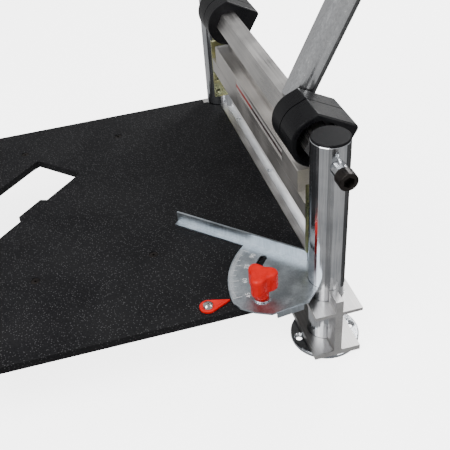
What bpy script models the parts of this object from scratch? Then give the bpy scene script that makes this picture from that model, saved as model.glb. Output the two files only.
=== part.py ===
"""Guillotine cutter for floor boards, rest pose: blade raised, fence set to 45 degrees.

The origin is the middle of the front foot's underside. +Z is up, +Y runs along the blade from
the front post to the rear post, and -X is the side with the work table. All sizes are in metres.
"""

import math

import bmesh
import bpy
from mathutils import Matrix, Vector

# Clearances
GAP = 0.0003              # between neighbours that touch on the real machine

# Posts, feet and beam
CLEAR_OPENING = 0.3296    # widest board that passes between the posts
POST_RADIUS = 0.016
POST_WALL = 0.002
POST_TOP = 0.214
CAP_RIM = 0.0018
FOOT_RADIUS = 0.0317
FOOT_THICKNESS = 0.004
FOOT_HOLE_RADIUS = 0.003
SPIGOT_TOP = 0.020
BEAM_WIDTH = 0.043
LOWER_FLANGE = 0.0055
UPPER_FLANGE = 0.0036
BEAM_FLANGE_TOP = 0.0572
BEAM_WEB = 0.0067
ANVIL_TOP = 0.0702

# Cam shaft, hubs and lever
SHAFT_HEIGHT = 0.196
SHAFT_FLATS = 0.0248
HUB_RADIUS = 0.0235
HUB_LENGTH = 0.049
HUB_FLAT = 0.0226         # axis to the flat on top
HUB_LOBE = 0.0281         # axis to the lobe's flank
SCREW_RADIUS = 0.005
COLLAR_LENGTH = 0.0099
COLLAR_RADIUS = 0.0067
LEVER_LEAN = math.radians(27)
LEVER_RADIUS = 0.0133
LEVER_WALL = 0.002
LEVER_REACH = 0.4         # axis to the end of the grip
GRIP_LENGTH = 0.13
GRIP_WALL = 0.0035

# Jaw, blade and guides
JAW_HALF = 0.011
JAW_TOP = 0.1722          # top of the rib that the hubs press
JAW_LEDGE = 0.1601
JAW_JOIN = 0.1382         # underside of the jaw beam
BAR_LEFT_BOTTOM = 0.1223
BAR_BOTTOM = 0.094
RIB_WIDTH = 0.0037
COVE = 0.008
BEAM_SETBACK = 0.0425     # post axis to the end of the jaw beam
BLADE_THICKNESS = 0.0025
BLADE_EDGE = 0.0796
BLADE_TOP = 0.158
PLATE_THICKNESS = 0.003
PLATE_SETBACK = 0.0205    # post axis to the end plate's outer face
PLATE_BOTTOM = 0.086
PLATE_TOP = 0.158
SHOE_BOTTOM = 0.138
SHOE_TOP = 0.160
NECK_HALF_WIDTH = 0.0045
NECK_HEIGHT = 0.017
JAW_DROP = 0.0102
SPRING_WIRE = 0.0009
SPRING_TURNS = 8

# Table
TABLE_TOP = 0.070
TABLE_THICKNESS = 0.009
TABLE_LEFT = -0.345
TABLE_FRONT = -0.012
TABLE_REAR = 0.370
POST_CLEARANCE = 0.0008
RAIL_WIDTH = 0.025
RAIL_THICKNESS = 0.0032
FRONT_RAIL_Y = 0.085
REAR_RAIL_Y = 0.318
LEG_RADIUS = 0.011
LEG_X = -0.325
OUTER_SCREW_X = -0.252
INNER_SCREW_X = -0.140
CUT_OUT_FRONT = 0.447     # Y minus X along the cut-out's front edge
CUT_OUT_REAR = 0.537
CUT_OUT_END = 0.060       # X plus Y along the cut-out's closed end
TAB_START = -0.259
TAB_END = -0.235
TAB_DEPTH = 0.007

# Angle fence, knob and pointer
SHEET = 0.0018
FENCE_ANGLE = math.radians(45)
SECTOR_RADIUS = 0.0868
FENCE_FACE = 0.014        # post axis to the face that the board rests on
FENCE_START = 0.0238      # post axis to the near end of the upstand
FENCE_END = 0.164
FENCE_RISE = 0.0128
LEDGE_EDGE = 0.0067
LIP_DROP = 0.0052
LIP_START = (-0.0221, -0.0619)
LIP_END = (-0.0005, -0.0350)
KNOB_X = -0.0612
KNOB_Y = -0.0064
STUD_RADIUS = 0.003
POINTER_X = -0.1081
POINTER_Y = -0.0014
POINTER_TIP_X = -0.0883
POINTER_TIP_Y = 0.0004

# Worked out from the sizes above
POST_PITCH = CLEAR_OPENING + 2 * POST_RADIUS
MIDDLE = POST_PITCH / 2
POST_BORE = POST_RADIUS - POST_WALL
BEAM_BOTTOM = FOOT_THICKNESS + GAP
SHEET_BOTTOM = ANVIL_TOP + GAP
SHEET_TOP = SHEET_BOTTOM + SHEET
BLADE_LEFT = JAW_HALF + GAP
BLADE_RIGHT = BLADE_LEFT + BLADE_THICKNESS
HUB_START = POST_RADIUS + 0.008
LEVER_Y = HUB_START + HUB_LENGTH + GAP + 0.0016 + LEVER_RADIUS
KNOB_DISTANCE = math.hypot(KNOB_X, KNOB_Y)
RAIL_LOW = BEAM_FLANGE_TOP + GAP
RAIL_HIGH = RAIL_LOW + RAIL_THICKNESS

FINISHES = {
    "chrome": ((0.78, 0.79, 0.80), 0.12, 1.0),
    "aluminium": ((0.72, 0.71, 0.70), 0.38, 1.0),
    "zinc": ((0.66, 0.70, 0.74), 0.32, 1.0),
    "yellow_zinc": ((0.62, 0.58, 0.30), 0.35, 1.0),
    "steel": ((0.60, 0.61, 0.63), 0.28, 1.0),
    "black_steel": ((0.03, 0.03, 0.03), 0.35, 0.8),
    "black_plastic": ((0.02, 0.02, 0.022), 0.35, 0.0),
    "rubber": ((0.02, 0.02, 0.02), 0.8, 0.0),
    "table_black": ((0.015, 0.015, 0.016), 0.6, 0.0),
    "red_plastic": ((0.75, 0.04, 0.03), 0.35, 0.0),
    "label_grey": ((0.16, 0.15, 0.15), 0.4, 0.0),
}

for old in list(bpy.data.objects):
    bpy.data.objects.remove(old, do_unlink=True)

parts = bpy.data.collections.new("floor_board_cutter")
cutters = bpy.data.collections.new("cutters")
bpy.context.scene.collection.children.link(parts)
bpy.context.scene.collection.children.link(cutters)


# Building blocks -----------------------------------------------------------------------------

def finish(obj, kind):
    """Gives a sub-part its own material of the named finish."""
    colour, roughness, metallic = FINISHES[kind]
    material = bpy.data.materials.new(f"{obj.name}_{kind}")
    material.use_nodes = True
    shader = material.node_tree.nodes["Principled BSDF"]
    shader.inputs["Base Color"].default_value = (*colour, 1)
    shader.inputs["Roughness"].default_value = roughness
    shader.inputs["Metallic"].default_value = metallic
    obj.data.materials.append(material)


def add(name, mesh, kind=None, parent=None, smooth=False):
    """Links a mesh as a sub-part, or as a cutter when it has no finish."""
    obj = bpy.data.objects.new(name, mesh)
    (parts if kind else cutters).objects.link(obj)
    obj.parent = parent
    if kind:
        finish(obj, kind)
    else:
        obj.hide_render = True
        obj.display_type = "WIRE"
    if smooth:
        mesh.shade_smooth()
        mesh.set_sharp_from_angle(angle=math.radians(35))
    return obj


def mesh_of(bm, name):
    mesh = bpy.data.meshes.new(name)
    bmesh.ops.recalc_face_normals(bm, faces=bm.faces)
    bm.to_mesh(mesh)
    bm.free()
    return mesh


def axis(name, location, turn=0.0, about="Y"):
    """An empty on a joint's axis, which carries the pieces that move."""
    empty = bpy.data.objects.new(name, None)
    parts.objects.link(empty)
    empty.location = location
    empty.rotation_euler["XYZ".index(about)] = turn
    return empty


def box(name, low, high, kind=None, parent=None, bevel=0.0):
    low, high = Vector(low), Vector(high)
    bm = bmesh.new()
    bmesh.ops.create_cube(bm, size=1)
    bmesh.ops.scale(bm, vec=high - low, verts=bm.verts)
    obj = add(name, mesh_of(bm, name), kind, parent)
    obj.location = (low + high) / 2
    if bevel:
        round_edges(obj, bevel)
    return obj


def round_edges(obj, width, segments=2):
    modifier = obj.modifiers.new("rounded_edges", "BEVEL")
    modifier.width = width
    modifier.segments = segments
    modifier.limit_method = "ANGLE"
    modifier.angle_limit = math.radians(40)


def rod(name, start, end, radius, kind=None, parent=None, sides=24):
    """A cylinder or regular prism between two points."""
    start, end = Vector(start), Vector(end)
    along = end - start
    bm = bmesh.new()
    bmesh.ops.create_cone(
        bm, cap_ends=True, segments=sides, radius1=radius, radius2=radius, depth=along.length,
    )
    turn = along.to_track_quat("Z", "Y").to_matrix()
    bmesh.ops.rotate(bm, matrix=turn, verts=bm.verts)
    obj = add(name, mesh_of(bm, name), kind, parent, smooth=sides > 8)
    obj.location = (start + end) / 2
    return obj


FACING = {
    "X": Matrix(((0, 0, 1), (1, 0, 0), (0, 1, 0))),
    "Y": Matrix(((1, 0, 0), (0, 0, -1), (0, 1, 0))),
    "Z": Matrix.Identity(3),
}


def slab(name, outline, start, end, facing, kind=None, parent=None, smooth=False):
    """A flat outline, extruded from start to end along the axis that it faces."""
    curve = bpy.data.curves.new(name, "CURVE")
    curve.dimensions = "2D"
    curve.fill_mode = "BOTH"
    curve.extrude = (end - start) / 2
    spline = curve.splines.new("POLY")
    spline.points.add(len(outline) - 1)
    for point, (u, v) in zip(spline.points, outline):
        point.co = (u, v, 0, 1)
    spline.use_cyclic_u = True
    return from_curve(name, curve, (start + end) / 2, facing, kind, parent, smooth, True)


def from_curve(name, curve, offset, facing, kind, parent, smooth, flat_ends=False):
    """Turns a curve into a closed mesh piece and removes the curve."""
    guide = bpy.data.objects.new(f"{name}_guide", curve)
    bpy.context.scene.collection.objects.link(guide)
    depsgraph = bpy.context.evaluated_depsgraph_get()
    mesh = bpy.data.meshes.new_from_object(guide.evaluated_get(depsgraph))
    bpy.data.objects.remove(guide, do_unlink=True)
    bm = bmesh.new()
    bm.from_mesh(mesh)
    bmesh.ops.remove_doubles(bm, verts=bm.verts, dist=0.000005)
    if flat_ends:
        bmesh.ops.dissolve_limit(
            bm, angle_limit=math.radians(0.5), use_dissolve_boundaries=False, verts=bm.verts,
            edges=bm.edges, delimit=set(),
        )
    bmesh.ops.rotate(bm, matrix=FACING[facing], verts=bm.verts)
    obj = add(name, mesh_of(bm, name), kind, parent, smooth)
    obj.location["XYZ".index(facing)] = offset
    return obj


def turned(name, profile, kind=None, parent=None, steps=24):
    """A lathe-turned piece about Z, from (radius, height) points listed top to bottom."""
    bm = bmesh.new()
    ring = profile[0] == profile[-1]
    rim = [bm.verts.new((r, 0, z)) for r, z in (profile[:-1] if ring else profile)]
    if ring:
        rim.append(rim[0])
    for a, b in zip(rim, rim[1:]):
        bm.edges.new((a, b))
    mesh = bpy.data.meshes.new(name)
    bm.to_mesh(mesh)
    bm.free()
    obj = add(name, mesh, kind, parent)
    screw = obj.modifiers.new("lathe", "SCREW")
    screw.steps = screw.render_steps = steps
    screw.use_merge_vertices = True
    screw.merge_threshold = 0.00001
    screw.use_smooth_shade = True
    return obj


def combine(obj, other, operation):
    modifier = obj.modifiers.new(other.name, "BOOLEAN")
    modifier.operation = operation
    modifier.solver = "EXACT"
    modifier.object = other


def cut(obj, *tools):
    for tool in tools:
        combine(obj, tool, "DIFFERENCE")


def fuse(obj, *others):
    for other in others:
        combine(obj, other, "UNION")


def arc(cx, cy, radius, start, end, steps=8):
    """Points on an arc, with angles in degrees."""
    turns = [math.radians(start + (end - start) * i / steps) for i in range(steps + 1)]
    return [(cx + radius * math.cos(t), cy + radius * math.sin(t)) for t in turns]


def both_ends():
    """Each end of the machine: its name, its post's Y, and the way towards the middle."""
    return (("front", 0.0, 1), ("rear", POST_PITCH, -1))


def aim(obj, seat, towards):
    """Puts a screw made along Z at its seat, pointing the way it is driven."""
    obj.rotation_euler = (-Vector(towards)).to_track_quat("Z", "Y").to_euler()
    obj.location = seat


def cap_screw(name, seat, towards, length, radius, parent=None, holders=(), tall=None):
    """A socket-head screw, seated under its head, which also bores the pieces it holds."""
    tall = tall or 2 * radius
    wide = 1.55 * radius
    edge = 0.1 * radius
    screw = turned(name, [
        (0, tall), (wide - edge, tall), (wide, tall - edge), (wide, 0), (radius, 0),
        (radius, -length), (0, -length),
    ], "black_steel", parent, 20 if radius > 0.003 else 14)
    aim(screw, seat, towards)
    cut(screw, rod(f"{name}_socket", (0, 0, tall * 0.45), (0, 0, tall + 0.001), radius * 0.95,
                   None, screw, 6))
    bore = rod(f"{name}_bore", (0, 0, -length - 0.001), (0, 0, 0.001), radius + GAP, None,
               screw, 16)
    for holder in holders:
        cut(holder, bore)
    return screw


def flat_screw(name, top, towards, length, radius, head, kind, parent=None, holders=()):
    """A countersunk screw, flush with the surface at its top, and its countersunk hole."""
    cone = head - radius
    screw = turned(name, [
        (0, -0.0002), (head, -0.0002), (radius, -0.0002 - cone), (radius, -length), (0, -length),
    ], kind, parent, 16)
    aim(screw, top, towards)
    cut(screw, rod(f"{name}_drive", (0, 0, -0.0002 - cone * 0.6), (0, 0, 0.001), radius * 0.62,
                   None, screw, 6))
    sink = turned(f"{name}_sink", [
        (0, 0.002), (head + 0.0005, 0.002), (head + 0.0005, -0.0002),
        (radius + GAP, -0.0004 - cone), (radius + GAP, -length - 0.001), (0, -length - 0.001),
    ], None, screw, 16)
    for holder in holders:
        cut(holder, sink)
    return screw


# Base: beam, anvil, feet and posts -----------------------------------------------------------

def build_beam():
    """An aluminium I-section with a rib on top, which carries the board beside the anvil."""
    half = BEAM_WIDTH / 2
    web = BEAM_WEB / 2
    low, high = BEAM_BOTTOM, BEAM_FLANGE_TOP
    right = [
        (half, low), (half, low + LOWER_FLANGE), (web + 0.001, low + LOWER_FLANGE),
        (web, low + LOWER_FLANGE + 0.001), (web, high - UPPER_FLANGE - 0.001),
        (web + 0.001, high - UPPER_FLANGE), (half, high - UPPER_FLANGE + 0.0003), (half, high),
        (web, high), (web, ANVIL_TOP),
    ]
    outline = right + [(-x, z) for x, z in reversed(right)]
    beam = slab("base_beam", outline, -FOOT_RADIUS, POST_PITCH + FOOT_RADIUS, "Y", "aluminium")
    for end, y, _ in both_ends():
        cut(beam, rod(
            f"beam_{end}_hole", (0, y, 0), (0, y, ANVIL_TOP + 0.01), POST_RADIUS + GAP, sides=40
        ))
    return beam


def build_anvil(beam):
    """A steel bar beside the rib, which the blade shears past, held by countersunk screws."""
    left = BEAM_WEB / 2 + GAP
    inset = HUB_START
    bar = box(
        "anvil_bar", (left, inset, BEAM_FLANGE_TOP + GAP),
        (JAW_HALF, POST_PITCH - inset, ANVIL_TOP), "steel",
    )
    for number in range(3):
        place = ((left + JAW_HALF) / 2, MIDDLE + (number - 1) * 0.121, ANVIL_TOP)
        flat_screw(
            f"anvil_screw_{number + 1}", place, (0, 0, -1), 0.0185, 0.0014, 0.0026, "steel",
            None, (bar, beam),
        )


def build_feet():
    """Turned discs with a spigot up into the post and two fixing holes."""
    for end, y, _ in both_ends():
        rim = FOOT_RADIUS
        spigot = POST_BORE - GAP
        thick = FOOT_THICKNESS
        foot = turned(f"{end}_foot", [
            (0, SPIGOT_TOP), (spigot - 0.001, SPIGOT_TOP), (spigot, SPIGOT_TOP - 0.001),
            (spigot, thick), (rim - 0.0008, thick), (rim, thick - 0.0008), (rim, 0), (0, 0),
        ], "zinc", steps=40)
        foot.location.y = y
        wide = FOOT_HOLE_RADIUS + 0.0018
        for side in (-1, 1):
            hole = turned(f"{end}_foot_hole_{side}", [
                (0, thick + 0.001), (wide, thick + 0.001), (wide, thick),
                (FOOT_HOLE_RADIUS, thick - 0.0018), (FOOT_HOLE_RADIUS, -0.001), (0, -0.001),
            ], steps=20)
            hole.location = (side * (FOOT_RADIUS - 0.0065), y, 0)
            cut(foot, hole)


def build_posts():
    """Chromed tubes, slotted on the inner side for the guide's neck and drilled for the screw."""
    for end, y, inward in both_ends():
        low = FOOT_THICKNESS + GAP
        post = turned(f"{end}_post", [
            (POST_BORE, POST_TOP), (POST_RADIUS - 0.0005, POST_TOP),
            (POST_RADIUS, POST_TOP - 0.0005), (POST_RADIUS, low), (POST_BORE, low),
            (POST_BORE, POST_TOP),
        ], "chrome", steps=40)
        post.location.y = y
        reach = y + inward * (POST_RADIUS + 0.002)
        side = NECK_HALF_WIDTH + GAP
        slot = box(
            f"{end}_slot", (-side, min(y, reach), neck_low() - JAW_DROP - GAP),
            (side, max(y, reach), neck_low() + NECK_HEIGHT + 0.001),
        )
        bore = rod(
            f"{end}_screw_hole", (0, y - 0.03, SHAFT_HEIGHT), (0, y + 0.03, SHAFT_HEIGHT),
            SCREW_RADIUS + GAP, sides=24,
        )
        cut(post, slot, bore)
        plug = POST_BORE - GAP
        cap = turned(f"{end}_post_cap", [
            (0, POST_TOP + CAP_RIM), (POST_RADIUS - 0.0011, POST_TOP + CAP_RIM),
            (POST_RADIUS - 0.0002, POST_TOP + CAP_RIM - 0.0008),
            (POST_RADIUS - 0.0002, POST_TOP + GAP), (plug, POST_TOP + GAP),
            (plug, POST_TOP - 0.006), (0, POST_TOP - 0.006),
        ], "black_plastic", steps=40)
        cap.location.y = y


# Cam shaft, hubs and lever -------------------------------------------------------------------

def hexagon(flats):
    """A hexagon's outline, with a point at the top."""
    radius = flats / math.sqrt(3)
    return arc(0, 0, radius, 90, 390, 5)


def hex_point(flats):
    return flats / math.sqrt(3)


def build_shaft(lever):
    """A hexagon bar that turns on two screws, with a point towards the lever."""
    start = POST_RADIUS + 0.002
    bar = slab(
        "cam_shaft", hexagon(SHAFT_FLATS), start, POST_PITCH - start, "Y", "aluminium", lever
    )
    for end, y, inward in both_ends():
        face = y + inward * start
        cut(bar, rod(
            f"{end}_shaft_bore", (0, face - inward * 0.001, 0), (0, face + inward * 0.028, 0),
            SCREW_RADIUS + GAP, None, lever, 24,
        ))
    return bar


def hub_outline(growth=0.0):
    """Round below, flat on top, with a lobe at the front that presses the jaw down."""
    radius = HUB_RADIUS + growth
    flat = HUB_FLAT + growth
    flank = HUB_LOBE + growth
    corner = 0.004 + growth
    back = -HUB_RADIUS / 2 - growth
    back_turn = math.degrees(math.atan2(flat, back))
    back_turn += math.degrees(math.acos(radius / math.hypot(back, flat)))
    low_flank = flank - 0.0012
    front_turn = 360 - math.degrees(math.acos(radius / low_flank))
    points = [(back, flat)]
    points += arc(0, 0, radius, back_turn, front_turn, 22)
    points += [(low_flank, 0.0)]
    points += arc(flank - corner, flat - corner, corner, 0, 90, 5)
    return points


def build_hubs(lever):
    """Black cam hubs on the hexagon, recessed towards the post, with a groove round each."""
    for end, y, inward in both_ends():
        near = y + inward * HUB_START
        far = near + inward * HUB_LENGTH
        low, high = min(near, far), max(near, far)
        hub = slab(f"{end}_cam_hub", hub_outline(), low, high, "Y", "black_plastic", lever, True)
        round_edges(hub, 0.0012)
        groove = near + inward * HUB_LENGTH * 0.57
        ring = slab(f"{end}_hub_groove", hub_outline(0.003), groove - 0.0006, groove + 0.0006,
                    "Y", None, lever)
        core = slab(f"{end}_hub_core", hub_outline(-0.0009), groove - 0.002, groove + 0.002,
                    "Y", None, lever)
        cut(ring, core)
        recess = rod(
            f"{end}_hub_recess", (0, near - inward * 0.001, 0), (0, near + inward * 0.012, 0),
            0.0190, None, lever, 32,
        )
        bore = slab(f"{end}_hub_bore", hexagon(SHAFT_FLATS + 2 * GAP), low - 0.01, high + 0.01,
                    "Y", None, lever)
        cut(hub, ring, recess, bore)


def build_lever(lever, shaft):
    """A tube that sits astride the shaft, drawn down on it by a long bolt and a plug inside."""
    y = LEVER_Y
    seat = hex_point(SHAFT_FLATS)
    bore = LEVER_RADIUS - LEVER_WALL
    tube = turned("lever_tube", [
        (bore, LEVER_REACH - 0.004), (LEVER_RADIUS, LEVER_REACH - 0.004),
        (LEVER_RADIUS, seat - 0.005), (bore, seat - 0.005), (bore, LEVER_REACH - 0.004),
    ], "chrome", lever, 40)
    tube.location.y = y
    cut(tube, slab("lever_saddle", hexagon(SHAFT_FLATS + 2 * GAP), y - 0.02, y + 0.02, "Y",
                   None, lever))
    plug = turned("lever_plug", [
        (0, seat + 0.045), (bore - GAP, seat + 0.045), (bore - GAP, seat + 0.003),
        (0, seat + 0.003),
    ], "steel", lever, 24)
    plug.location.y = y
    under = -SHAFT_FLATS / math.sqrt(3) + 0.0045
    cut(shaft, rod("lever_bolt_spotface", (0, y, -0.03), (0, y, under), 0.0070, None, lever, 24))
    cap_screw("lever_bolt", (0, y, under - GAP), (0, 0, 1), seat + 0.040, 0.004, lever,
              (shaft, plug))
    grip_in = LEVER_RADIUS + GAP
    grip_out = grip_in + GRIP_WALL
    start = LEVER_REACH - GRIP_LENGTH
    grip = turned("lever_grip", [
        (0, LEVER_REACH), (grip_out - 0.004, LEVER_REACH), (grip_out, LEVER_REACH - 0.004),
        (grip_out, start + 0.006), (grip_out + 0.0016, start + 0.003), (grip_out, start),
        (grip_in, start), (grip_in, LEVER_REACH - 0.0037), (0, LEVER_REACH - 0.0037),
    ], "rubber", lever, 40)
    grip.location.y = y


def build_pivots():
    """Socket screws through the posts that carry the shaft, each standing off on a collar."""
    for end, y, inward in both_ends():
        outside = y - inward * (POST_RADIUS + GAP)
        face = outside - inward * COLLAR_LENGTH
        collar = rod(
            f"{end}_pivot_collar", (0, outside, SHAFT_HEIGHT), (0, face, SHAFT_HEIGHT),
            COLLAR_RADIUS, "chrome", sides=28,
        )
        cap_screw(
            f"{end}_pivot_screw", (0, face - inward * GAP, SHAFT_HEIGHT), (0, inward, 0),
            COLLAR_LENGTH + 2 * POST_RADIUS + 0.022, SCREW_RADIUS, None, (collar,),
        )


# Jaw: beam, blade, end plates and guides -----------------------------------------------------

def neck_low():
    return SHOE_BOTTOM + 0.002


def build_jaw(jaw):
    """A beam with a coved rib on top, bolted with a second bar and the blade into one jaw."""
    left, right = -JAW_HALF, JAW_HALF
    rib = right - RIB_WIDTH
    outline = [(left, JAW_JOIN), (left, JAW_LEDGE - 0.0006), (left + 0.0006, JAW_LEDGE)]
    outline += arc(rib - COVE, JAW_LEDGE + COVE, COVE, -90, 0, 7)
    outline += [
        (rib, JAW_TOP - 0.0004), (rib + 0.0004, JAW_TOP), (right - 0.0004, JAW_TOP),
        (right, JAW_TOP - 0.0004), (right, JAW_JOIN),
    ]
    beam = slab(
        "jaw_beam", outline, BEAM_SETBACK, POST_PITCH - BEAM_SETBACK, "Y", "aluminium", jaw
    )
    build_label(jaw, beam)
    reach = PLATE_SETBACK + PLATE_THICKNESS + GAP
    bar = slab("blade_bar", [
        (left, BAR_LEFT_BOTTOM), (left, JAW_JOIN - GAP), (right, JAW_JOIN - GAP),
        (right, BAR_BOTTOM), (right - 0.006, BAR_BOTTOM),
    ], reach, POST_PITCH - reach, "Y", "aluminium", jaw)
    reach += 0.0007
    blade = slab("blade", [
        (BLADE_LEFT, BLADE_EDGE), (BLADE_LEFT, BLADE_TOP), (BLADE_RIGHT, BLADE_TOP),
        (BLADE_RIGHT, BLADE_EDGE + 0.0045), (BLADE_LEFT + 0.0005, BLADE_EDGE),
    ], reach, POST_PITCH - reach, "Y", "steel", jaw)
    upper, lower = (JAW_JOIN + JAW_LEDGE) / 2, (BAR_BOTTOM + JAW_JOIN) / 2
    places = ((0.075, upper), (0.130, lower), (POST_PITCH - 0.130, lower),
              (POST_PITCH - 0.075, upper))
    for number, (y, z) in enumerate(places, 1):
        holder = beam if z == upper else bar
        cap_screw(f"blade_screw_{number}", (BLADE_RIGHT + GAP, y, z), (-1, 0, 0), 0.014, 0.002,
                  jaw, (blade, holder))
    return bar


def build_label(jaw, beam):
    """A plain strip that fills a shallow pocket in the jaw's table side."""
    low, high = JAW_LEDGE - 0.0146, JAW_LEDGE - 0.0036
    start, end = 0.084, 0.234
    left = -JAW_HALF
    cut(beam, box("label_pocket", (left - 0.002, start, low), (left + 0.0012, end, high), None,
                  jaw))
    box("label_strip", (left + 0.0003, start + GAP, low + GAP),
        (left + 0.0009, end - GAP, high - GAP), "label_grey", jaw)


def build_end_plates(jaw, bar):
    """Yellow-plated plates that tie the jaw to the guide shoes inside the posts."""
    for end, y, inward in both_ends():
        outer = y + inward * PLATE_SETBACK
        inner = outer + inward * PLATE_THICKNESS
        plate = box(
            f"{end}_end_plate", (-JAW_HALF, min(outer, inner), PLATE_BOTTOM),
            (JAW_HALF, max(outer, inner), PLATE_TOP), "yellow_zinc", jaw,
        )
        for side in (-1, 1):
            for row in range(2):
                z = PLATE_BOTTOM + 0.008 + row * 0.015
                cut(plate, rod(
                    f"{end}_plate_hole_{side}_{row}", (side * 0.0068, outer - 0.005, z),
                    (side * 0.0068, outer + 0.005, z), 0.00275, None, jaw, 16,
                ))
        flat_screw(
            f"{end}_plate_screw", (0, outer, 0.128), (0, inward, 0), 0.018, 0.0024, 0.0044,
            "steel", jaw, (plate, bar),
        )
        shoe = build_shoe(end, y, inward, outer, jaw)
        cap_screw(
            f"{end}_shoe_screw", (0, inner + inward * GAP, neck_low() + NECK_HEIGHT / 2),
            (0, -inward, 0), 0.014, 0.002, jaw, (plate, shoe),
        )


def build_shoe(end, y, inward, plate_face, jaw):
    """A sliding block inside the post, with a neck out through the post's slot."""
    shoe = rod(
        f"{end}_guide_shoe", (0, y, SHOE_BOTTOM), (0, y, SHOE_TOP), POST_BORE - GAP,
        "black_plastic", jaw, 32,
    )
    neck_end = plate_face - inward * GAP
    neck = box(
        f"{end}_guide_neck", (-NECK_HALF_WIDTH, min(y, neck_end), neck_low()),
        (NECK_HALF_WIDTH, max(y, neck_end), neck_low() + NECK_HEIGHT), None, jaw,
    )
    fuse(shoe, neck)
    return shoe


def build_springs():
    """Compression springs in the posts, between each foot's spigot and the guide shoe."""
    low = SPIGOT_TOP + GAP + SPRING_WIRE
    high = SHOE_BOTTOM - GAP - SPRING_WIRE
    radius = POST_BORE - SPRING_WIRE - 0.0012
    per_turn = 10
    count = SPRING_TURNS * per_turn
    for end, y, _ in both_ends():
        curve = bpy.data.curves.new(f"{end}_return_spring", "CURVE")
        curve.dimensions = "3D"
        curve.bevel_depth = SPRING_WIRE
        curve.bevel_resolution = 1
        curve.use_fill_caps = True
        spline = curve.splines.new("POLY")
        spline.points.add(count)
        for step, point in enumerate(spline.points):
            turn = 2 * math.pi * step / per_turn
            height = low + (high - low) * step / count
            point.co = (radius * math.cos(turn), radius * math.sin(turn), height, 1)
        spring = from_curve(f"{end}_return_spring", curve, 0, "Z", "steel", None, True)
        spring.location.y = y


# Table, rails and legs -----------------------------------------------------------------------

def slant(x, depth=0.0):
    """A point on the cut-out's front edge, or the given depth out from it."""
    side = depth / math.sqrt(2)
    return (x - side, x + CUT_OUT_FRONT + side)


def table_outline():
    """A plate with a slanting cut-out from its left side, and a corner clear of each post."""
    right = -BEAM_WEB / 2 - GAP
    side = -POST_RADIUS - 0.006
    clear = POST_RADIUS + POST_CLEARANCE
    turn = math.degrees(math.acos(right / clear))
    start = (CUT_OUT_END - CUT_OUT_FRONT) / 2
    finish_x = (CUT_OUT_END - CUT_OUT_REAR) / 2
    points = [(side, TABLE_FRONT), (side, 0.002)]
    points += arc(0, 0, clear, 173, turn, 6)
    points += arc(0, POST_PITCH, clear, 360 - turn, 187, 6)
    points += [(side, POST_PITCH - 0.002), (side, TABLE_REAR)]
    points += arc(TABLE_LEFT + 0.01, TABLE_REAR - 0.01, 0.01, 90, 180, 5)
    points += [(TABLE_LEFT, TABLE_LEFT + CUT_OUT_REAR)]
    round_off = 0.006
    points += [
        (finish_x - round_off, finish_x - round_off + CUT_OUT_REAR),
        (finish_x + 0.001, finish_x - 0.001 + CUT_OUT_REAR),
        (finish_x + round_off, finish_x - round_off + CUT_OUT_REAR),
        (start - round_off, start + round_off + CUT_OUT_FRONT),
        (start - 0.001, start + 0.001 + CUT_OUT_FRONT),
        slant(start - round_off),
    ]
    points += [
        slant(TAB_END + 0.002), slant(TAB_END, TAB_DEPTH), slant(TAB_START, TAB_DEPTH),
        slant(TAB_START - 0.002), (TABLE_LEFT, TABLE_LEFT + CUT_OUT_FRONT),
    ]
    points += arc(TABLE_LEFT + 0.01, TABLE_FRONT + 0.01, 0.01, 180, 270, 5)
    return points


def build_table(beam):
    low = TABLE_TOP - TABLE_THICKNESS
    table = slab("table_plate", table_outline(), low, TABLE_TOP, "Z", "table_black")
    round_edges(table, 0.0006, 1)
    for end, y in (("front", FRONT_RAIL_Y), ("rear", REAR_RAIL_Y)):
        rail = box(
            f"{end}_table_rail", (TABLE_LEFT + 0.01, y - RAIL_WIDTH / 2, RAIL_LOW),
            (-BEAM_WEB / 2 - 2 * GAP, y + RAIL_WIDTH / 2, RAIL_HIGH), "steel",
        )
        build_leg(end, y, rail)
        flat_screw(
            f"{end}_rail_screw", (-0.0125, y, RAIL_HIGH), (0, 0, -1), 0.0095, 0.0018, 0.0034,
            "steel", None, (rail, beam),
        )
        for spot, x in (("outer", OUTER_SCREW_X), ("inner", INNER_SCREW_X)):
            flat_screw(
                f"{end}_{spot}_table_screw", (x, y, TABLE_TOP - 0.0005), (0, 0, -1),
                TABLE_TOP - RAIL_LOW - 0.001, 0.0021, 0.0042, "black_steel", None, (table, rail),
            )
    return table


def build_leg(end, y, rail):
    """A turned leg under the rail's outer end, screwed up into it, on a rubber foot."""
    stud = 0.003
    sole = 0.006
    waist = LEG_RADIUS - 0.003
    top = RAIL_LOW - GAP
    leg = turned(f"{end}_table_leg", [
        (0, RAIL_LOW + 0.0022), (stud, RAIL_LOW + 0.0022), (stud, top), (LEG_RADIUS, top),
        (LEG_RADIUS, sole + 0.008), (waist, sole + 0.006), (waist, sole - 0.0007),
        (0, sole - 0.0007),
    ], "zinc", steps=28)
    leg.location = (LEG_X, y, 0)
    cut(rail, rod(
        f"{end}_leg_stud_hole", (LEG_X, y, RAIL_LOW - 0.001), (LEG_X, y, RAIL_LOW + 0.0026),
        stud + GAP, sides=24,
    ))
    outer = LEG_RADIUS + 0.0012
    inner = waist + GAP
    rubber = turned(f"{end}_leg_foot", [
        (0, sole - 0.0010), (inner, sole - 0.0010), (inner, sole + 0.004),
        (outer - 0.0008, sole + 0.004), (outer, sole + 0.0032), (outer, 0.0008),
        (outer - 0.0008, 0), (0, 0),
    ], "rubber", steps=28)
    rubber.location = (LEG_X, y, 0)


# Angle fence, knob and pointer ---------------------------------------------------------------

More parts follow.
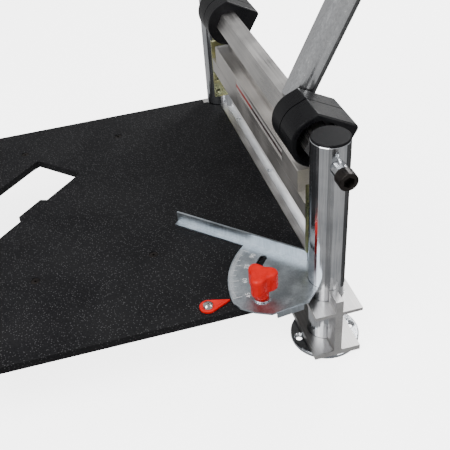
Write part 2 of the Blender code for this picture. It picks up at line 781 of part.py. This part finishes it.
def fence_outline():
    """The sheet's plan with the fence laid along -X: a sector round the post and a ledge."""
    notch = POST_RADIUS + GAP
    back = FENCE_FACE - SHEET / 2
    rim_start = 180 - math.degrees(math.asin(LEDGE_EDGE / SECTOR_RADIUS))
    notch_end = 180 - math.degrees(math.asin(0.0125 / notch))
    far = -FENCE_END + GAP
    near = -notch * math.cos(math.asin(0.0125 / notch)) - 0.0006
    outline = [(near, back), (far, back), (far, LEDGE_EDGE)]
    outline += arc(0, 0, SECTOR_RADIUS, rim_start, 229, 16)
    outline += [(-0.0496, -0.0675), (-0.0358, -0.0664), LIP_START, LIP_END]
    outline += arc(0, 0, notch, 268.2, notch_end, 14)
    return outline


def slot_outline():
    """An arc slot round the post, long enough for the fence to swing from 45 to 90 degrees."""
    half = STUD_RADIUS + 0.0005
    at_square = math.degrees(math.atan2(KNOB_Y, KNOB_X)) % 360
    start = at_square - 5
    end = at_square + math.degrees(FENCE_ANGLE) + 3
    middle = KNOB_DISTANCE
    first = math.radians(start)
    last = math.radians(end)
    outline = arc(0, 0, middle + half, start, end, 12)
    outline += arc(
        middle * math.cos(last), middle * math.sin(last), half, end, end + 180, 6
    )[1:-1]
    outline += arc(0, 0, middle - half, end, start, 12)
    outline += arc(
        middle * math.cos(first), middle * math.sin(first), half, start + 180, start + 360, 6
    )[1:-1]
    return outline


def build_fence(pivot):
    """One bent sheet: a sector with an arc slot round the post, and an upstand for the board."""
    low = SHEET_BOTTOM - TABLE_TOP
    high = SHEET_TOP - TABLE_TOP
    sheet = slab("angle_fence", fence_outline(), low, high, "Z", "zinc", pivot, True)
    wall = box(
        "fence_wall", (-FENCE_END, FENCE_FACE - SHEET, low + SHEET / 4),
        (-FENCE_START, FENCE_FACE, low + FENCE_RISE), None, pivot,
    )
    along = (Vector(LIP_END) - Vector(LIP_START)).normalized()
    inward = Vector((-along.y, along.x))
    start = Vector(LIP_START) + along * 0.005 - inward * 0.0005
    end = Vector(LIP_END) - along * 0.005 - inward * 0.0005
    corners = (start, end, end + inward * SHEET, start + inward * SHEET)
    lip = slab("fence_lip", [(p.x, p.y) for p in corners], low - LIP_DROP, high - 0.0004, "Z",
               None, pivot)
    slot = slab("fence_slot", slot_outline(), low - 0.002, high + 0.002, "Z", None, pivot)
    fuse(sheet, wall, lip)
    cut(sheet, slot)
    return sheet


def knob_outline():
    points = []
    for step in range(36):
        turn = 2 * math.pi * step / 36
        radius = 0.0115 + 0.0028 * math.cos(3 * turn + 0.5)
        points.append((radius * math.cos(turn), radius * math.sin(turn)))
    return points


def build_knob(table):
    """A red clamping knob on a stud, which screws into the table and pinches the fence."""
    pivot = axis("knob_axis", (KNOB_X, KNOB_Y, SHEET_TOP + GAP))
    washer = rod("clamp_washer", (0, 0, 0), (0, 0, 0.0012), 0.0078, "steel", pivot, 28)
    cut(washer, rod("washer_bore", (0, 0, -0.001), (0, 0, 0.003), STUD_RADIUS + GAP, None,
                    pivot, 20))
    base = 0.0012 + GAP
    neck = base + 0.0078
    knob = slab("clamp_knob", knob_outline(), neck, base + 0.0280, "Z", "red_plastic", pivot,
                True)
    round_edges(knob, 0.0034, 3)
    stem = turned("knob_stem", [
        (0, neck + 0.003), (0.0066, neck + 0.003), (0.0062, neck), (0.0060, base), (0, base),
    ], None, pivot, 28)
    fuse(knob, stem)
    stud_low = TABLE_TOP - TABLE_THICKNESS + 0.001 - SHEET_TOP - GAP
    rod("knob_stud", (0, 0, stud_low), (0, 0, base + 0.012), STUD_RADIUS, "steel", pivot, 20)
    cut(knob, rod("stud_socket", (0, 0, -0.001), (0, 0, base + 0.0123), STUD_RADIUS + GAP, None,
                  pivot, 20))
    cut(table, rod(
        "table_stud_hole", (KNOB_X, KNOB_Y, TABLE_TOP - TABLE_THICKNESS - 0.001),
        (KNOB_X, KNOB_Y, TABLE_TOP + 0.001), STUD_RADIUS + GAP, sides=20,
    ))


def build_pointer(table):
    """A red arrow held to the table by a cross-head screw, which points at the scale."""
    low = TABLE_TOP + GAP
    high = TABLE_TOP + 0.002
    round_end = 0.0075
    outline = arc(POINTER_X, POINTER_Y, round_end, 62, 298, 16)
    outline += [(POINTER_TIP_X, POINTER_TIP_Y - 0.0004), (POINTER_TIP_X, POINTER_TIP_Y + 0.0004)]
    pointer = slab("scale_pointer", outline, low, high, "Z", "red_plastic", None, True)
    radius = 0.0018
    seat = high + GAP
    screw = turned("pointer_screw", [
        (0, seat + 0.0028), (0.0026, seat + 0.0025), (0.0043, seat + 0.0015),
        (0.0049, seat), (radius, seat), (radius, low - 0.006), (0, low - 0.006),
    ], "chrome", steps=24)
    screw.location = (POINTER_X, POINTER_Y, 0)
    for number in range(2):
        arm = box(f"pointer_screw_cross_{number}", (-0.0024, -0.0005, seat + 0.0012),
                  (0.0024, 0.0005, seat + 0.006))
        arm.location += Vector((POINTER_X, POINTER_Y, 0))
        arm.rotation_euler.z = math.radians(90 * number + 20)
        cut(screw, arm)
    hole = rod("pointer_hole", (POINTER_X, POINTER_Y, TABLE_TOP - 0.0072),
               (POINTER_X, POINTER_Y, high + 0.001), radius + GAP, sides=16)
    cut(pointer, hole)
    cut(table, hole)


# Assembly ------------------------------------------------------------------------------------

base_beam = build_beam()
build_anvil(base_beam)
build_feet()
build_posts()
build_pivots()

lever_axis = axis("lever_axis", (0, 0, SHAFT_HEIGHT), LEVER_LEAN)
cam_shaft = build_shaft(lever_axis)
build_hubs(lever_axis)
build_lever(lever_axis, cam_shaft)

jaw_axis = axis("jaw_axis", (0, 0, 0))
build_end_plates(jaw_axis, build_jaw(jaw_axis))
build_springs()

table_plate = build_table(base_beam)
build_fence(axis("fence_axis", (0, 0, TABLE_TOP), -FENCE_ANGLE, "Z"))
build_knob(table_plate)
build_pointer(table_plate)
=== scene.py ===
import math

import bmesh
import bpy
from mathutils import Matrix, Vector


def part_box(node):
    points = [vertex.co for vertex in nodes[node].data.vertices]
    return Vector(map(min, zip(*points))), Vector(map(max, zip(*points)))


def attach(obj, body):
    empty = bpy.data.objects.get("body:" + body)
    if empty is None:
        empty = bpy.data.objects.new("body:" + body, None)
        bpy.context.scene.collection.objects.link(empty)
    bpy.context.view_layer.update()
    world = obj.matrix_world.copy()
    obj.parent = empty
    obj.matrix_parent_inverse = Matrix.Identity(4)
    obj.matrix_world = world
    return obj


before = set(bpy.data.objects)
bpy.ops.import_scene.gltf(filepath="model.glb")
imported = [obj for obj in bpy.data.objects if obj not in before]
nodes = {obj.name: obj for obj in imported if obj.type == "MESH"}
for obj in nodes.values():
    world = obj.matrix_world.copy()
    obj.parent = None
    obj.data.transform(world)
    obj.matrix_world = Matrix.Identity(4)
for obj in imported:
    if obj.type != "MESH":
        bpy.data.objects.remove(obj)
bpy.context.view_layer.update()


# The worked surface: an effect that every material shares.
# Fine grain, stretched along the way a piece was drawn, ground or moulded, over slow patches
# from handling, which shift the colour and the roughness together.

group = bpy.data.node_groups.new("worked_surface", "ShaderNodeTree")
for label, kind in (("Light", "NodeSocketColor"), ("Dark", "NodeSocketColor"),
                    ("Grain", "NodeSocketVector"), ("Patch", "NodeSocketFloat"),
                    ("Smooth", "NodeSocketFloat"), ("Rough", "NodeSocketFloat")):
    group.interface.new_socket(label, in_out="INPUT", socket_type=kind)
for label, kind in (("Color", "NodeSocketColor"), ("Roughness", "NodeSocketFloat"),
                    ("Height", "NodeSocketFloat")):
    group.interface.new_socket(label, in_out="OUTPUT", socket_type=kind)
given = group.nodes.new("NodeGroupInput")
result = group.nodes.new("NodeGroupOutput")
place = group.nodes.new("ShaderNodeTexCoord")
stretch = group.nodes.new("ShaderNodeVectorMath")
stretch.operation = "MULTIPLY"
grain = group.nodes.new("ShaderNodeTexNoise")
grain.inputs["Scale"].default_value = 1.0
grain.inputs["Detail"].default_value = 5.0
grain.inputs["Roughness"].default_value = 0.62
patch = group.nodes.new("ShaderNodeTexNoise")
patch.inputs["Detail"].default_value = 3.0
both = group.nodes.new("ShaderNodeMath")
both.operation = "ADD"
spread = group.nodes.new("ShaderNodeMapRange")
spread.inputs["From Min"].default_value = 0.78
spread.inputs["From Max"].default_value = 1.22
tone = group.nodes.new("ShaderNodeMix")
tone.data_type = "RGBA"
sheen = group.nodes.new("ShaderNodeMapRange")
link = group.links.new
link(place.outputs["Object"], stretch.inputs[0])
link(given.outputs["Grain"], stretch.inputs[1])
link(stretch.outputs["Vector"], grain.inputs["Vector"])
link(place.outputs["Object"], patch.inputs["Vector"])
link(given.outputs["Patch"], patch.inputs["Scale"])
link(grain.outputs["Fac"], both.inputs[0])
link(patch.outputs["Fac"], both.inputs[1])
link(both.outputs["Value"], spread.inputs["Value"])
link(spread.outputs["Result"], tone.inputs["Factor"])
link(given.outputs["Dark"], tone.inputs[6])
link(given.outputs["Light"], tone.inputs[7])
link(spread.outputs["Result"], sheen.inputs["Value"])
link(given.outputs["Smooth"], sheen.inputs["To Min"])
link(given.outputs["Rough"], sheen.inputs["To Max"])
link(tone.outputs[2], result.inputs["Color"])
link(sheen.outputs["Result"], result.inputs["Roughness"])
link(grain.outputs["Fac"], result.inputs["Height"])


def surface(name, light, dark, grain, patch, smooth, rough, metallic, depth,
            coat=0.0, shine=0.5):
    """A material with the worked surface.

    grain and patch are cycles per metre, smooth and rough the two ends of its roughness,
    and depth the height in metres of its relief.
    """
    made = bpy.data.materials.new(name)
    made.use_nodes = True
    tree = made.node_tree
    shader = tree.nodes["Principled BSDF"]
    shader.inputs["Metallic"].default_value = metallic
    shader.inputs["Specular IOR Level"].default_value = shine
    shader.inputs["Coat Weight"].default_value = coat
    shader.inputs["Coat Roughness"].default_value = 0.08
    worked = tree.nodes.new("ShaderNodeGroup")
    worked.node_tree = bpy.data.node_groups["worked_surface"]
    worked.name = "worked"
    worked.inputs["Light"].default_value = (*light, 1)
    worked.inputs["Dark"].default_value = (*dark, 1)
    worked.inputs["Grain"].default_value = grain
    worked.inputs["Patch"].default_value = patch
    worked.inputs["Smooth"].default_value = smooth
    worked.inputs["Rough"].default_value = rough
    bump = tree.nodes.new("ShaderNodeBump")
    bump.name = "relief"
    bump.inputs["Strength"].default_value = 0.5
    bump.inputs["Distance"].default_value = depth
    tree.links.new(worked.outputs["Color"], shader.inputs["Base Color"])
    tree.links.new(worked.outputs["Roughness"], shader.inputs["Roughness"])
    tree.links.new(worked.outputs["Height"], bump.inputs["Height"])
    tree.links.new(bump.outputs["Normal"], shader.inputs["Normal"])
    return made


def dress(material, names, edge=0.0, smooth=30):
    """Gives CAD nodes a material, smooth round faces, and a broken edge of the given width."""
    for name in names:
        piece = nodes[name]
        piece.data.materials.clear()
        piece.data.materials.append(material)
        piece.data.shade_smooth()
        piece.data.set_sharp_from_angle(angle=math.radians(smooth))
        if edge:
            broken = piece.modifiers.new("broken_edge", "BEVEL")
            broken.width = edge
            broken.segments = 2
            broken.limit_method = "ANGLE"
            broken.angle_limit = math.radians(40)
            broken.harden_normals = True


# Posts: drawn steel tube, chromed.
# The plate is bright, with faint vertical polishing lines and a slight cloudiness.
# They are bored and slotted before plating, so the slots have the same finish.

chrome = surface("polished_chrome", (0.72, 0.73, 0.75), (0.46, 0.48, 0.51), (900, 900, 25), 30,
                 0.07, 0.20, 1.0, 0.00001)
dress(chrome, ["front_post", "rear_post", "front_pivot_collar", "rear_pivot_collar"], smooth=35)

# Lever tube: steel tube with the same chrome as the posts, pushed into its boss and bolted.
# It is polished along its length, and duller than the posts.

lever_chrome = surface("lever_chrome", (0.82, 0.83, 0.84), (0.62, 0.63, 0.65), (500, 900, 260),
                       26, 0.14, 0.28, 1.0, 0.00002)
dress(lever_chrome, ["lever_tube"], smooth=35)

# Post caps: pressed-in black nylon, with a dull moulded top that has picked up fine scuffs.

cap_black = surface("cap_nylon", (0.006, 0.006, 0.007), (0.002, 0.002, 0.003),
                    (900, 1400, 900), 60, 0.34, 0.55, 0.0, 0.00006, 0.0, 0.12)
dress(cap_black, ["front_post_cap", "rear_post_cap"], 0.0003)

# Cam hubs: satin black nylon castings on the hexagon shaft, each with a turned groove.
# The moulded skin is slightly uneven, glossier where boards and hands rub it.

hub_black = surface("hub_nylon", (0.007, 0.007, 0.008), (0.002, 0.002, 0.003),
                    (700, 700, 700), 35, 0.24, 0.46, 0.0, 0.00008, 0.0, 0.2)
dress(hub_black, ["front_cam_hub", "rear_cam_hub"])

# Guide shoes: black acetal blocks that slide in the posts' bores and carry the jaw's ends.
# They are machined plain, and only their necks come out through the slots.

shoe_black = surface("shoe_acetal", (0.03, 0.03, 0.032), (0.015, 0.015, 0.016),
                     (500, 500, 90), 40, 0.3, 0.45, 0.0, 0.00003)
dress(shoe_black, ["front_guide_shoe", "rear_guide_shoe"])

# Black screws: socket-head steel screws, blackened in oil after the thread is rolled.
# They stay oily in the recesses, and the rims wear to a brownish grey.

oxide = surface("black_oxide", (0.040, 0.034, 0.031), (0.010, 0.009, 0.009), (1800, 1800, 1800),
                90, 0.26, 0.48, 0.85, 0.00008)
dress(oxide, ["front_pivot_screw", "rear_pivot_screw", "lever_bolt", "front_shoe_screw",
              "rear_shoe_screw", "blade_screw_1", "blade_screw_2", "blade_screw_3",
              "blade_screw_4", "front_outer_table_screw", "rear_outer_table_screw",
              "front_inner_table_screw", "rear_inner_table_screw"], smooth=40)

# Zinc-plated steel: countersunk screws, the knob's stud, springs, legs, rails and the plug.
# The plating is bright and a little blue on small pieces, and duller on the pressed rails.

zinc = surface("bright_zinc", (0.72, 0.74, 0.77), (0.50, 0.53, 0.57), (1300, 1300, 1300), 45,
               0.18, 0.36, 1.0, 0.00004)
dress(zinc, ["front_rail_screw", "rear_rail_screw",
             "front_plate_screw", "rear_plate_screw", "anvil_screw_1", "anvil_screw_2",
             "anvil_screw_3", "knob_stud", "lever_plug", "front_return_spring",
             "rear_return_spring", "front_table_leg", "rear_table_leg"], smooth=40)
rail_zinc = surface("rail_zinc", (0.66, 0.68, 0.70), (0.45, 0.47, 0.50), (40, 1200, 1200), 25,
                    0.26, 0.45, 1.0, 0.00005)
dress(rail_zinc, ["front_table_rail", "rear_table_rail"], 0.0004)

# Feet: turned steel discs with a bright plate, screwed up into the posts.
# The lathe's fine rings show on the top face.

foot_plate = surface("turned_foot", (0.62, 0.64, 0.66), (0.32, 0.34, 0.37), (300, 300, 1500), 40,
                     0.10, 0.26, 1.0, 0.00003)
rings = foot_plate.node_tree.nodes.new("ShaderNodeTexWave")
rings.wave_type = "RINGS"
rings.rings_direction = "Z"
rings.inputs["Scale"].default_value = 260
rings.inputs["Distortion"].default_value = 0.4
turning = foot_plate.node_tree.nodes.new("ShaderNodeTexCoord")
rings_bump = foot_plate.node_tree.nodes.new("ShaderNodeBump")
rings_bump.inputs["Strength"].default_value = 0.35
rings_bump.inputs["Distance"].default_value = 0.00003
foot_plate.node_tree.links.new(turning.outputs["Object"], rings.inputs["Vector"])
foot_plate.node_tree.links.new(rings.outputs["Fac"], rings_bump.inputs["Height"])
foot_plate.node_tree.links.new(
    foot_plate.node_tree.nodes["relief"].outputs["Normal"], rings_bump.inputs["Normal"]
)
foot_plate.node_tree.links.new(
    rings_bump.outputs["Normal"],
    foot_plate.node_tree.nodes["Principled BSDF"].inputs["Normal"],
)
dress(foot_plate, ["front_foot", "rear_foot"])

# Base beam: extruded aluminium, left as it comes from the mill, and sawn to length.
# Die lines run along its length, and the saw leaves the ends bright with a slight tooth.

mill = surface("mill_aluminium", (0.66, 0.65, 0.64), (0.46, 0.45, 0.45), (1100, 14, 1100), 30,
               0.34, 0.46, 1.0, 0.00004)
dress(mill, ["base_beam"], 0.0003)

# Cam shaft: cold-drawn hexagon bar that joins the two hubs and turns with the lever.
# Its satin flats carry the die's lengthwise lines.

shaft = surface("drawn_shaft", (0.74, 0.72, 0.70), (0.54, 0.53, 0.52), (900, 10, 900), 24,
                0.26, 0.42, 1.0, 0.00004)
dress(shaft, ["cam_shaft"], 0.0004, 20)

# Jaw: the coved beam and the bar below it, satin anodised in a warm light grey.
# Their corners are broken and polished, so each long edge catches the light.

anodised = surface("satin_anodised", (0.70, 0.67, 0.64), (0.52, 0.50, 0.48), (1200, 9, 1200), 22,
                   0.30, 0.46, 0.9, 0.00005)
dress(anodised, ["jaw_beam", "blade_bar"], 0.0004, 25)

# Blade and anvil bar: tool steel, hardened and then ground square on their cutting sides.
# The grinding leaves a fine satin that runs along them.

ground = surface("ground_steel", (0.66, 0.67, 0.69), (0.54, 0.55, 0.57), (1500, 160, 1500), 40,
                 0.40, 0.50, 1.0, 0.00001)
dress(ground, ["blade", "anvil_bar"], 0.0002)

# End plates: pressed steel, zinc plated and passivated yellow.
# The passivation drifts between straw yellow and green.

yellow = surface("yellow_passivate", (0.66, 0.62, 0.30), (0.46, 0.50, 0.30), (400, 400, 400), 120,
                 0.24, 0.42, 1.0, 0.00004)
dress(yellow, ["front_end_plate", "rear_end_plate"], 0.0003)

# Label strip: a plain silvery film stuck in the jaw's pocket, with one printed line along it.
# The line is dark, and red over its far part.

film = surface("printed_film", (0.52, 0.50, 0.48), (0.40, 0.38, 0.37), (300, 300, 300), 60, 0.28,
               0.42, 0.0, 0.00002, 0.2)
low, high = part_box("label_strip")
spot = film.node_tree.nodes.new("ShaderNodeTexCoord")
split = film.node_tree.nodes.new("ShaderNodeSeparateXYZ")
line_low = film.node_tree.nodes.new("ShaderNodeMapRange")
line_low.inputs["From Min"].default_value = low.z + (high.z - low.z) * 0.30
line_low.inputs["From Max"].default_value = low.z + (high.z - low.z) * 0.34
line_high = film.node_tree.nodes.new("ShaderNodeMapRange")
line_high.inputs["From Min"].default_value = low.z + (high.z - low.z) * 0.70
line_high.inputs["From Max"].default_value = low.z + (high.z - low.z) * 0.66
printed = film.node_tree.nodes.new("ShaderNodeMath")
printed.operation = "MULTIPLY"
stroke = film.node_tree.nodes.new("ShaderNodeMix")
stroke.data_type = "RGBA"
band = film.node_tree.nodes.new("ShaderNodeMapRange")
band.inputs["From Min"].default_value = low.y + (high.y - low.y) * 0.62
band.inputs["From Max"].default_value = low.y + (high.y - low.y) * 0.63
ink = film.node_tree.nodes.new("ShaderNodeMix")
ink.data_type = "RGBA"
ink.inputs[6].default_value = (0.05, 0.035, 0.035, 1)
ink.inputs[7].default_value = (0.34, 0.020, 0.018, 1)
film.node_tree.links.new(spot.outputs["Object"], split.inputs["Vector"])
film.node_tree.links.new(split.outputs["Y"], band.inputs["Value"])
film.node_tree.links.new(band.outputs["Result"], ink.inputs["Factor"])
film.node_tree.links.new(split.outputs["Z"], line_low.inputs["Value"])
film.node_tree.links.new(split.outputs["Z"], line_high.inputs["Value"])
film.node_tree.links.new(line_low.outputs["Result"], printed.inputs[0])
film.node_tree.links.new(line_high.outputs["Result"], printed.inputs[1])
film.node_tree.links.new(printed.outputs["Value"], stroke.inputs["Factor"])
film.node_tree.links.new(film.node_tree.nodes["worked"].outputs["Color"], stroke.inputs[6])
film.node_tree.links.new(ink.outputs[2], stroke.inputs[7])
film.node_tree.links.new(
    stroke.outputs[2], film.node_tree.nodes["Principled BSDF"].inputs["Base Color"]
)
dress(film, ["label_strip"])

# Work table: a thick black board with a fine pebbled coat, cast against a textured mould.
# The pebbles are about two millimetres across, and the middle of each has a painted highlight, a
# paler spot where the light catches its top.

pebble = surface("pebbled_coat", (0.010, 0.010, 0.011), (0.003, 0.003, 0.004), (750, 750, 750),
                 14, 0.42, 0.66, 0.0, 0.0004, 0.0, 0.15)
tree = pebble.node_tree
where = tree.nodes.new("ShaderNodeTexCoord")
cells = tree.nodes.new("ShaderNodeTexVoronoi")
cells.feature = "SMOOTH_F1"
cells.inputs["Scale"].default_value = 520
cells.inputs["Smoothness"].default_value = 0.6
specks = tree.nodes.new("ShaderNodeTexVoronoi")
specks.inputs["Scale"].default_value = 520
glint_mask = tree.nodes.new("ShaderNodeMapRange")
glint_mask.inputs["From Min"].default_value = 0.26
glint_mask.inputs["From Max"].default_value = 0.12
# Painted highlight: a pale grey mixed in at each pebble's middle, standing in for the light
# caught on the pebble tops.
painted_glint = tree.nodes.new("ShaderNodeMix")
painted_glint.data_type = "RGBA"
painted_glint.inputs[7].default_value = (0.085, 0.085, 0.088, 1)
pebbles = tree.nodes.new("ShaderNodeBump")
pebbles.invert = True
pebbles.inputs["Strength"].default_value = 0.55
pebbles.inputs["Distance"].default_value = 0.00045
tree.links.new(where.outputs["Object"], cells.inputs["Vector"])
tree.links.new(where.outputs["Object"], specks.inputs["Vector"])
tree.links.new(specks.outputs["Distance"], glint_mask.inputs["Value"])
tree.links.new(glint_mask.outputs["Result"], painted_glint.inputs["Factor"])
tree.links.new(tree.nodes["worked"].outputs["Color"], painted_glint.inputs[6])
tree.links.new(painted_glint.outputs[2], tree.nodes["Principled BSDF"].inputs["Base Color"])
tree.links.new(cells.outputs["Distance"], pebbles.inputs["Height"])
tree.links.new(tree.nodes["relief"].outputs["Normal"], pebbles.inputs["Normal"])
tree.links.new(pebbles.outputs["Normal"], tree.nodes["Principled BSDF"].inputs["Normal"])
dress(pebble, ["table_plate"], 0.0003)

# Angle fence: galvanised sheet, cut, slotted and folded in one piece.
# The plate is cool and bluish, with a soft, uneven spangle.

galvanised = surface("galvanised_sheet", (0.56, 0.61, 0.65), (0.36, 0.40, 0.44), (700, 700, 60),
                     70, 0.30, 0.48, 1.0, 0.00003)
dress(galvanised, ["angle_fence"])

# Scale: lines and numbers engraved in the sector and filled with white paint.
# There is a line every degree, longer at fives, and a number every fifteen degrees.
# The fence reads 45 at rest.

paint = surface("engraved_paint", (0.90, 0.91, 0.92), (0.80, 0.81, 0.82), (900, 900, 900), 80,
                0.5, 0.7, 0.0, 0.00002)
sheet_top = 0.0723
line_end = 0.0855
short_line = 0.0820
five_line = 0.0795
number_line = 0.0770
number_ring = 0.0715
number_size = 0.0062
turn_to_rest = Matrix.Rotation(math.radians(-45), 4, "Z")
lines = bmesh.new()
for degree in range(45, 91):
    angle = math.radians(270 - degree)
    inner = number_line if degree % 15 == 0 else five_line if degree % 5 == 0 else short_line
    width = 0.00032 if degree % 5 == 0 else 0.00022
    bar = bmesh.ops.create_cube(lines, size=1)["verts"]
    bmesh.ops.scale(lines, vec=(line_end - inner, width, 0.00006), verts=bar)
    bmesh.ops.translate(
        lines, vec=((line_end + inner) / 2, 0, sheet_top + 0.00002), verts=bar
    )
    bmesh.ops.rotate(lines, matrix=Matrix.Rotation(angle, 3, "Z"), verts=bar)
scale_mesh = bpy.data.meshes.new("scale_lines")
bmesh.ops.recalc_face_normals(lines, faces=lines.faces)
lines.to_mesh(scale_mesh)
lines.free()
scale_mesh.materials.append(paint)
scale_lines = bpy.data.objects.new("scale_lines", scale_mesh)
bpy.context.scene.collection.objects.link(scale_lines)
scale_lines.matrix_world = turn_to_rest
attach(scale_lines, "fence")
for degree in (45, 60, 75, 90):
    words = bpy.data.curves.new(f"scale_number_{degree}", "FONT")
    words.body = str(degree)
    words.size = number_size
    words.extrude = 0.00003
    words.resolution_u = 3
    words.align_x = "CENTER"
    words.align_y = "CENTER"
    words.materials.append(paint)
    number = bpy.data.objects.new(f"scale_number_{degree}", words)
    bpy.context.scene.collection.objects.link(number)
    angle = math.radians(270 - degree + (2.5 if degree == 90 else 0))
    out = Vector((math.cos(angle), math.sin(angle), 0)) * number_ring
    stand = Matrix.Rotation(angle - math.radians(90), 4, "Z")
    number.matrix_world = (
        turn_to_rest @ Matrix.Translation((out.x, out.y, sheet_top + 0.00003)) @ stand
    )
    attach(number, "fence")

# Clamp knob and pointer: moulded red plastic, the knob on a washer and a threaded stud.
# The gloss is broken by a faint flow texture, and the colour drifts a little with it.

red = surface("moulded_red", (0.78, 0.010, 0.006), (0.60, 0.004, 0.003), (260, 260, 260), 60,
              0.26, 0.40, 0.0, 0.00004, 0.0, 0.2)
dress(red, ["clamp_knob"], smooth=50)
dress(red, ["scale_pointer"], 0.0003)
dress(zinc, ["clamp_washer"])

# Pointer screw: a nickel-plated steel pan head with a cross recess.
# It holds the pointer down on the table, and is bright on the crown.

nickel = surface("nickel_plate", (0.84, 0.83, 0.80), (0.62, 0.61, 0.58), (1600, 1600, 1600), 80,
                 0.10, 0.26, 1.0, 0.00003)
dress(nickel, ["pointer_screw"], smooth=40)

# Grip and leg feet: black rubber, moulded and pushed over the ends of their tubes.
# It has a dry, dusty skin and a fine pebble from the mould.

rubber = surface("black_rubber", (0.020, 0.020, 0.019), (0.007, 0.007, 0.007), (1500, 1500, 1500),
                 40, 0.62, 0.86, 0.0, 0.00025)
dress(rubber, ["lever_grip", "front_leg_foot", "rear_leg_foot"], smooth=35)

# Floor: a pale, matt sweep under the cutter, with the faintest unevenness, lit from beneath.
# It neither lights the cutter nor shows in its metal, which sees the pale room instead.

floor_mesh = bpy.data.meshes.new("floor")
floor_reach = 6
floor_drop = 0.0004
ground_plan = bmesh.new()
bmesh.ops.create_grid(ground_plan, x_segments=1, y_segments=1, size=floor_reach)
ground_plan.to_mesh(floor_mesh)
ground_plan.free()
floor = bpy.data.objects.new("floor", floor_mesh)
floor.location = (0, 0, -floor_drop)
bpy.context.scene.collection.objects.link(floor)
sweep = surface("pale_sweep", (0.92, 0.92, 0.92), (0.90, 0.90, 0.90), (20, 20, 20), 3, 0.8, 0.9,
                0.0, 0.00002)
sweep.node_tree.nodes["Principled BSDF"].inputs["Emission Color"].default_value = (1, 1, 1, 1)
sweep.node_tree.nodes["Principled BSDF"].inputs["Emission Strength"].default_value = 4.0
floor_mesh.materials.append(sweep)
floor.visible_glossy = False
floor.visible_diffuse = False

# Studio: a pale room, a broad soft key high on the left, and two smaller lights.
# Grey cloths lie on the sweep, seen only in the bright metal, and draw its darker bands.

world = bpy.data.worlds.new("pale_room")
world.use_nodes = True
world.node_tree.nodes["Background"].inputs["Color"].default_value = (1, 1, 1, 1)
world.node_tree.nodes["Background"].inputs["Strength"].default_value = 0.45
bpy.context.scene.world = world
for label, at, look, size, power in (
    ("key", (-1.0, -0.5, 1.5), (0, 0.15, 0.1), (1.2, 0.9), 34),
    ("back_light", (0.9, 1.1, 1.2), (0, 0.15, 0.15), (0.4, 1.4), 22),
    ("front_fill", (0.9, -1.3, 0.8), (0, 0.0, 0.12), (0.5, 1.0), 12),
):
    lamp = bpy.data.lights.new(label, "AREA")
    lamp.shape = "RECTANGLE"
    lamp.size, lamp.size_y = size
    lamp.energy = power
    light = bpy.data.objects.new(label, lamp)
    light.location = at
    light.rotation_euler = (Vector(look) - Vector(at)).to_track_quat("-Z", "Y").to_euler()
    bpy.context.scene.collection.objects.link(light)
cloth_start = 0.075
cloth_length = 0.9
for label, tone_of_cloth, first, last in (
    ("front_cloth", 0.16, 236, 268),
    ("side_cloth", 0.30, 278, 300),
    ("rear_cloth", 0.03, -18, 58),
):
    grey = (tone_of_cloth,) * 3
    cloth_paint = surface(label, grey, tuple(c * 0.8 for c in grey), (90, 90, 90), 8, 0.9, 1.0,
                          0.0, 0.0001)
    cloth = bpy.data.meshes.new(label)
    cut = bmesh.new()
    bmesh.ops.create_grid(cut, x_segments=12, y_segments=1, size=0.5)
    for corner in cut.verts:
        angle = math.radians(first + (last - first) * (corner.co.x + 0.5))
        reach = cloth_start + cloth_length * (corner.co.y + 0.5)
        corner.co = (reach * math.cos(angle), reach * math.sin(angle), 0.0)
    cut.to_mesh(cloth)
    cut.free()
    cloth.materials.append(cloth_paint)
    laid = bpy.data.objects.new(label, cloth)
    laid.visible_camera = False
    laid.visible_shadow = False
    laid.visible_diffuse = False
    bpy.context.scene.collection.objects.link(laid)

# Camera: above and to the left of the front post, looking along the blade.
# It is rolled a little, as a hand-held camera is.

lens = bpy.data.cameras.new("camera")
lens.sensor_width = 36
lens.lens = 55.18
lens.shift_x = 0.0391
lens.shift_y = 0.0113
lens.clip_start = 0.01
lens.clip_end = 30
camera = bpy.data.objects.new("camera", lens)
across = Vector((0.9662, -0.2446, -0.0818))
ahead = Vector((0.1431, 0.7723, -0.6190)).normalized()
across = (across - ahead * across.dot(ahead)).normalized()
above = across.cross(ahead)
stand_point = (-0.1793, -0.4197, 0.4889)
camera.matrix_world = Matrix.Translation(stand_point) @ Matrix(
    (across, above, -ahead)
).transposed().to_4x4()
bpy.context.scene.collection.objects.link(camera)
bpy.context.scene.camera = camera
